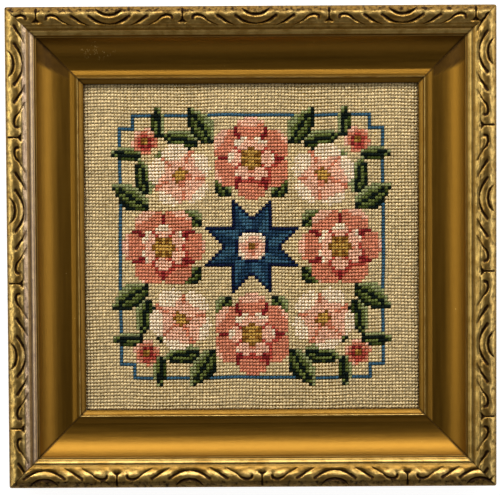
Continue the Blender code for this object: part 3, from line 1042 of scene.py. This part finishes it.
def wool_materials(colours):
    """One material for each wool, made once and shared by the front and the back."""
    made = []
    for name in WOOL_NAMES:
        label = name + " wool"
        made.append(bpy.data.materials.get(label) or wool_material(name, getattr(colours, name)))
    return made


def canvas_mesh(chart, sizes):
    """The canvas with the reverse of the stitches raised on its back, as one closed sheet."""
    split = 2
    columns, rows = STITCH_COLUMNS * split + 2, STITCH_ROWS * split + 2
    half_x, half_y = STITCH_COLUMNS * sizes.pitch / 2, STITCH_ROWS * sizes.pitch / 2
    run_x = np.linspace(-half_x, half_x, columns - 1)
    run_y = np.linspace(-half_y, half_y, rows - 1)
    run_x = np.concatenate([[-CANVAS_WIDTH / 2], run_x, [CANVAS_WIDTH / 2]])
    run_y = np.concatenate([[-CANVAS_HEIGHT / 2], run_y, [CANVAS_HEIGHT / 2]])
    flat_x, flat_y = np.meshgrid(run_x, run_y)
    x, y = wander(flat_x, flat_y, sizes.drift)
    lift = swell(x, y, sizes.swell)
    back = CANVAS_BOX[0].z + REVERSE_RISE
    slant = (flat_x * 0.6 + flat_y) / sizes.pitch
    stitched = (np.abs(flat_x) < half_x) & (np.abs(flat_y) < half_y)
    pad = 0.24 * MM * (0.5 + 0.5 * np.cos(math.tau * slant * 0.5)) * stitched
    front = np.stack([x, y, (RABBET[1] - CANVAS_BELOW) * MM + lift], -1)
    rear = np.stack([x, y, np.full(x.shape, back) + lift - pad], -1)
    points = np.concatenate([front.reshape(-1, 3), rear.reshape(-1, 3)])
    index = np.arange(x.size).reshape(x.shape)
    faces, tints = [], []
    canvas_slot = len(WOOLS)
    for row in range(len(run_y) - 1):
        for column in range(len(run_x) - 1):
            a, b = index[row, column], index[row, column + 1]
            c, d = index[row + 1, column + 1], index[row + 1, column]
            faces.append((a, b, c, d))
            faces.append((d + x.size, c + x.size, b + x.size, a + x.size))
            cell_row = min(max((row - 1) // split, 0), STITCH_ROWS - 1)
            cell_column = min(max((column - 1) // split, 0), STITCH_COLUMNS - 1)
            edge = row in (0, len(run_y) - 2) or column in (0, len(run_x) - 2)
            tints += [canvas_slot if edge else int(chart.wool[cell_row, cell_column])] * 2
    for line, reverse in ((index[0], False), (index[-1], True), (index[:, 0], True), (index[:, -1], False)):
        for first, second in zip(line[:-1], line[1:]):
            side = (first, first + x.size, second + x.size, second)
            faces.append(side[::-1] if reverse else side)
            tints.append(canvas_slot)
    mesh = bpy.data.meshes.new("canvas")
    mesh.from_pydata(points.tolist(), [], [tuple(int(i) for i in face) for face in faces])
    mesh.polygons.foreach_set("material_index", np.array(tints, dtype=np.int32))
    # The front's lower shade paints the canvas between the stitches darker, as shade
    mesh.attributes.new("shade", "FLOAT", "POINT").data.foreach_set(
        "value", np.repeat([0.0, 0.35], x.size).astype(np.float32)
    )
    corner = np.zeros(len(mesh.loops), dtype=np.int32)
    mesh.loops.foreach_get("vertex_index", corner)
    cells = np.stack([points[:, 0], points[:, 1]], -1)[corner] / sizes.pitch
    mesh.uv_layers.new(name="stitch").data.foreach_set("uv", cells.astype(np.float32).ravel())
    mesh.shade_smooth()
    return mesh


def stitch_template(sizes):
    """One tent stitch along X: a plump yarn that narrows and dips to its holes at both ends."""
    sides, rings = 5, 4
    angles = (np.arange(sides) + 0.25) / sides * math.tau
    shares = (0.10, 0.34, 0.66, 0.90)
    bm = bmesh.new()
    layer = bm.loops.layers.uv.new("stitch")
    half = sizes.stitch_length / 2
    loops = []
    for share in shares:
        plump = math.sin(math.pi * share) ** 0.55
        drop = sizes.stitch_rise * 0.42 * (2 * share - 1) ** 2
        ring = []
        for angle in angles:
            y = sizes.stitch_width / 2 * plump * math.cos(angle)
            z = sizes.stitch_rise / 2 * (0.35 + 0.65 * plump) * math.sin(angle) - drop
            ring.append(bm.verts.new(((2 * share - 1) * half, y, z)))
        loops.append(ring)
    tips = [bm.verts.new((side * half, 0.0, -sizes.stitch_rise * 0.55)) for side in (-1, 1)]

    def face(corners, values):
        made = bm.faces.new(corners)
        made.smooth = True
        for loop, value in zip(made.loops, values):
            loop[layer].uv = value

    for i in range(sides):
        j = (i + 1) % sides
        low, high = (i + 0.25) / sides, (i + 1.25) / sides
        for ring in range(rings - 1):
            first, second = loops[ring], loops[ring + 1]
            near, far = shares[ring], shares[ring + 1]
            corners = (first[i], first[j], second[j], second[i])
            face(corners, ((near, low), (near, high), (far, high), (far, low)))
        face((tips[0], loops[0][j], loops[0][i]), ((0, low), (shares[0], high), (shares[0], low)))
        face((tips[1], loops[-1][i], loops[-1][j]), ((1, low), (shares[-1], low), (shares[-1], high)))
    bmesh.ops.recalc_face_normals(bm, faces=bm.faces)
    mesh = bpy.data.meshes.new("tent stitch")
    bm.to_mesh(mesh)
    bm.free()
    made = bpy.data.objects.new("tent stitch", mesh)
    bpy.context.scene.collection.objects.link(made)
    return made


def stitching_tree():
    """Geometry nodes that lay one stitch on each point, a little uneven in turn, size and shade."""
    tree = bpy.data.node_groups.new("tent stitching", "GeometryNodeTree")
    sockets = (
        ("Geometry", "NodeSocketGeometry"),
        ("Stitch", "NodeSocketObject"),
        ("Slant", "NodeSocketFloat"),
        ("Uneven turn", "NodeSocketFloat"),
        ("Uneven size", "NodeSocketFloat"),
        ("Seed", "NodeSocketInt"),
        ("Wool", "NodeSocketMaterial"),
    )
    for label, kind in sockets:
        tree.interface.new_socket(label, in_out="INPUT", socket_type=kind)
    tree.interface.new_socket("Geometry", in_out="OUTPUT", socket_type="NodeSocketGeometry")
    given = node(tree, "NodeGroupInput").outputs
    result = node(tree, "NodeGroupOutput")

    def uneven(low, high, offset):
        made = node(tree, "FunctionNodeRandomValue", data_type="FLOAT")
        shifted = node(tree, "ShaderNodeMath", operation="ADD")
        tree.links.new(given["Seed"], shifted.inputs[0])
        shifted.inputs[1].default_value = offset
        tree.links.new(shifted.outputs[0], made.inputs["Seed"])
        made.inputs[2].default_value = low
        made.inputs[3].default_value = high
        return made.outputs[1]

    sway = math_node(tree, "MULTIPLY", uneven(-1.0, 1.0, 0), given["Uneven turn"])
    turn = math_node(tree, "ADD", given["Slant"], sway)
    roll = math_node(tree, "MULTIPLY", uneven(-1.0, 1.0, 1), given["Uneven turn"])
    rotation = node(tree, "ShaderNodeCombineXYZ")
    tree.links.new(roll, rotation.inputs["X"])
    tree.links.new(turn, rotation.inputs["Z"])
    scale = node(tree, "ShaderNodeCombineXYZ")
    for axis, offset in (("X", 2), ("Y", 3), ("Z", 4)):
        spread = math_node(tree, "MULTIPLY", uneven(-1.0, 1.0, offset), given["Uneven size"])
        tree.links.new(math_node(tree, "ADD", spread, 1.0), scale.inputs[axis])
    stitch = node(tree, "GeometryNodeObjectInfo")
    tree.links.new(given["Stitch"], stitch.inputs["Object"])
    points = node(tree, "GeometryNodeMeshToPoints")
    tree.links.new(given["Geometry"], points.inputs["Mesh"])
    laid = node(tree, "GeometryNodeInstanceOnPoints")
    tree.links.new(points.outputs["Points"], laid.inputs["Points"])
    tree.links.new(stitch.outputs["Geometry"], laid.inputs["Instance"])
    tree.links.new(rotation.outputs[0], laid.inputs["Rotation"])
    tree.links.new(scale.outputs[0], laid.inputs["Scale"])
    shade = node(tree, "GeometryNodeStoreNamedAttribute", data_type="FLOAT", domain="INSTANCE")
    tree.links.new(laid.outputs["Instances"], shade.inputs["Geometry"])
    shade.inputs["Name"].default_value = "shade"
    tree.links.new(uneven(0.0, 1.0, 5), shade.inputs["Value"])
    real = node(tree, "GeometryNodeRealizeInstances")
    tree.links.new(shade.outputs["Geometry"], real.inputs["Geometry"])
    dyed = node(tree, "GeometryNodeSetMaterial")
    tree.links.new(real.outputs["Geometry"], dyed.inputs["Geometry"])
    tree.links.new(given["Wool"], dyed.inputs["Material"])
    tree.links.new(dyed.outputs["Geometry"], result.inputs["Geometry"])
    return tree


def stitched_piece(name, places, tree, inputs):
    """Runs the stitching nodes over a set of places and keeps the result as a plain mesh."""
    cloud = bpy.data.meshes.new(name + " places")
    cloud.from_pydata(places.tolist(), [], [])
    holder = bpy.data.objects.new(name + " places", cloud)
    bpy.context.scene.collection.objects.link(holder)
    stitching = holder.modifiers.new("stitching", "NODES")
    stitching.node_group = tree
    identifiers = {item.name: item.identifier for item in tree.interface.items_tree if item.in_out == "INPUT"}
    for label, value in inputs.items():
        stitching[identifiers[label]] = value
    bpy.context.view_layer.update()
    evaluated = holder.evaluated_get(bpy.context.evaluated_depsgraph_get())
    mesh = bpy.data.meshes.new_from_object(evaluated)
    mesh.name = name
    bpy.data.objects.remove(holder, do_unlink=True)
    made = bpy.data.objects.new(name, mesh)
    bpy.context.scene.collection.objects.link(made)
    return made


class NEEDLEPOINT_OT_mouldings(bpy.types.Operator):
    """Make the four carved and gilded mouldings"""

    bl_idname = "needlepoint.mouldings"
    bl_label = "Mouldings"

    def execute(self, context):
        sizes = context.scene.needlepoint_moulding
        gilt = gilt_material(sizes)
        wood = bare_wood_material(sizes)
        quarter = math.pi / 2
        sides = (
            ("bottom", OUTER_WIDTH, 0.0, (0, -OUTER_HEIGHT / 2, 0)),
            ("right", OUTER_HEIGHT, quarter, (OUTER_WIDTH / 2, 0, 0)),
            ("top", OUTER_WIDTH, 2 * quarter, (0, OUTER_HEIGHT / 2, 0)),
            ("left", OUTER_HEIGHT, -quarter, (-OUTER_WIDTH / 2, 0, 0)),
        )
        for side, length, turn, offset in sides:
            mesh = rail_mesh(side, length, sizes)
            mesh.materials.append(gilt)
            mesh.materials.append(wood)
            made = place_rail(mesh, turn, Vector(offset))
            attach(made, BODY)
            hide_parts("rail_" + side)
        return {"FINISHED"}


class NEEDLEPOINT_OT_canvas(bpy.types.Operator):
    """Make the canvas, with the reverse of the stitches on its back"""

    bl_idname = "needlepoint.canvas"
    bl_label = "Canvas"

    def execute(self, context):
        mesh = canvas_mesh(needlework_chart(), context.scene.needlepoint_needlework)
        for material in wool_materials(context.scene.needlepoint_wools):
            mesh.materials.append(material)
        mesh.materials.append(canvas_material())
        made = bpy.data.objects.new("canvas", mesh)
        bpy.context.scene.collection.objects.link(made)
        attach(made, BODY)
        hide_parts("canvas_panel")
        return {"FINISHED"}


class NEEDLEPOINT_OT_stitches(bpy.types.Operator):
    bl_idname = "needlepoint.stitches"
    bl_label = "Stitches"

    def execute(self, context):
        canvas = bpy.data.objects.get("canvas")
        if canvas is None:
            raise RuntimeError("make the canvas before its stitches")
        sizes = context.scene.needlepoint_needlework
        chart = needlework_chart()
        x, y = wander(chart.x * sizes.pitch, chart.y * sizes.pitch, sizes.drift)
        z = (RABBET[1] - STITCH_BELOW) * MM + swell(x, y, sizes.swell)
        places = np.stack([x, y, z], -1)
        tree = stitching_tree()
        stitch = stitch_template(sizes)
        pieces = []
        band = np.minimum(np.arange(STITCH_ROWS) * GROUND_BANDS // STITCH_ROWS, GROUND_BANDS - 1)
        wools = wool_materials(context.scene.needlepoint_wools)
        for number, (name, material) in enumerate(zip(WOOL_NAMES, wools)):
            worked = chart.wool == number
            parts = [(name, worked)]
            if number == 0:
                parts = [("%s_%d" % (name, i + 1), worked & (band == i)[:, None]) for i in range(GROUND_BANDS)]
            for label, where in parts:
                inputs = {
                    "Stitch": stitch,
                    "Slant": sizes.slant,
                    "Uneven turn": math.radians(7),
                    "Uneven size": 0.09,
                    "Seed": sizes.seed + 31 * len(pieces),
                    "Wool": material,
                }
                made = stitched_piece("stitches_" + label, places[where], tree, inputs)
                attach(made, BODY)
                pieces.append(made)
        bpy.data.objects.remove(stitch, do_unlink=True)
        return {"FINISHED"}


def floor_material(stage):
    material, tree, shader = new_material("pale floor")
    grain = grain_node(tree, node(tree, "ShaderNodeTexCoord").outputs["Object"], 3.0, 400.0)
    shade = opaque([value * 0.985 for value in stage.floor])
    feed(tree, shader, Base_Color=mix_colour(tree, grain["Blotch"], shade, opaque(stage.floor)))
    shader.inputs["Roughness"].default_value = 0.9
    shader.inputs["Emission Color"].default_value = (1.0, 1.0, 1.0, 1.0)
    shader.inputs["Emission Strength"].default_value = stage.floor_glow
    return material


def area_light(name, place, target, width, height, power):
    data = bpy.data.lights.new(name, "AREA")
    data.shape = "RECTANGLE"
    data.size = width
    data.size_y = height
    data.energy = power
    made = bpy.data.objects.new(name, data)
    made.location = place
    made.rotation_euler = (Vector(target) - Vector(place)).to_track_quat("-Z", "Y").to_euler()
    bpy.context.scene.collection.objects.link(made)
    return made


class NEEDLEPOINT_OT_stage(bpy.types.Operator):
    """Make the floor, the lights and the camera"""

    bl_idname = "needlepoint.stage"
    bl_label = "Stage"

    def execute(self, context):
        stage = context.scene.needlepoint_stage
        mesh = bpy.data.meshes.new("floor")
        bm = bmesh.new()
        bmesh.ops.create_grid(bm, x_segments=1, y_segments=1, size=4.0)
        bm.to_mesh(mesh)
        bm.free()
        mesh.materials.append(floor_material(stage))
        floor = bpy.data.objects.new("floor", mesh)
        floor.location.z = -0.0005
        bpy.context.scene.collection.objects.link(floor)
        lift = math.radians(34)
        reach = 1.3
        key = (0.0, reach * math.cos(lift), reach * math.sin(lift))
        area_light("key light", key, (0, 0, 0.01), 2.8, 0.52, stage.key_power)
        area_light("low light", (0, 1.3, 0.17), (0, 0, 0.17), 2.4, 0.34, stage.low_power)
        for side, tint in ((-1, stage.left_tint), (1, stage.right_tint)):
            place = (side * reach * math.cos(lift), 0.42, reach * math.sin(lift))
            lamp = area_light("side light", place, (0, 0.42, 0.01), 1.7, 0.52, stage.side_power)
            lamp.data.color = tint
        back = (0.0, -reach * math.cos(lift), reach * math.sin(lift))
        area_light("back light", back, (0, 0, 0.01), 1.6, 0.5, stage.back_power)
        world = bpy.data.worlds.new("room")
        world.use_nodes = True
        background = world.node_tree.nodes["Background"]
        background.inputs["Color"].default_value = (1.0, 0.97, 0.93, 1.0)
        background.inputs["Strength"].default_value = stage.sky
        bpy.context.scene.world = world
        bpy.context.scene.view_settings.view_transform = "Standard"
        lens = bpy.data.cameras.new("camera")
        lens.lens = stage.lens
        lens.sensor_width = 36.0
        camera = bpy.data.objects.new("camera", lens)
        camera.location = (0.0, stage.camera_ahead, stage.camera_height)
        camera.rotation_euler = (stage.camera_tilt, 0.0009, stage.camera_roll)
        bpy.context.scene.collection.objects.link(camera)
        bpy.context.scene.camera = camera
        return {"FINISHED"}


class NEEDLEPOINT_PT_panel(bpy.types.Panel):
    """Lists the pieces and their settings"""

    bl_label = "Needlepoint panel"
    bl_idname = "NEEDLEPOINT_PT_panel"
    bl_space_type = "VIEW_3D"
    bl_region_type = "UI"
    bl_category = "Needlepoint"

    def draw(self, context):
        for operator in OPERATORS:
            self.layout.operator(operator.bl_idname)
        for name, group in SETTINGS:
            box = self.layout.box()
            box.label(text=group.__doc__)
            for prop in group.__annotations__:
                box.prop(getattr(context.scene, name), prop)


SETTINGS = (
    ("needlepoint_moulding", MouldingSettings),
    ("needlepoint_needlework", NeedleworkSettings),
    ("needlepoint_wools", WoolSettings),
    ("needlepoint_stage", StageSettings),
)
OPERATORS = (
    NEEDLEPOINT_OT_mouldings,
    NEEDLEPOINT_OT_canvas,
    NEEDLEPOINT_OT_stitches,
    NEEDLEPOINT_OT_stage,
)
CLASSES = (*(group for _, group in SETTINGS), *OPERATORS, NEEDLEPOINT_PT_panel)


def register():
    for item in CLASSES:
        bpy.utils.register_class(item)
    for name, group in SETTINGS:
        setattr(bpy.types.Scene, name, PointerProperty(type=group))


def unregister():
    for name, _ in SETTINGS:
        delattr(bpy.types.Scene, name)
    for item in reversed(CLASSES):
        bpy.utils.unregister_class(item)


def main():
    register()
    bpy.ops.needlepoint.mouldings()
    bpy.ops.needlepoint.canvas()
    bpy.ops.needlepoint.stitches()
    bpy.ops.needlepoint.stage()


if __name__ == "__main__":
    main()
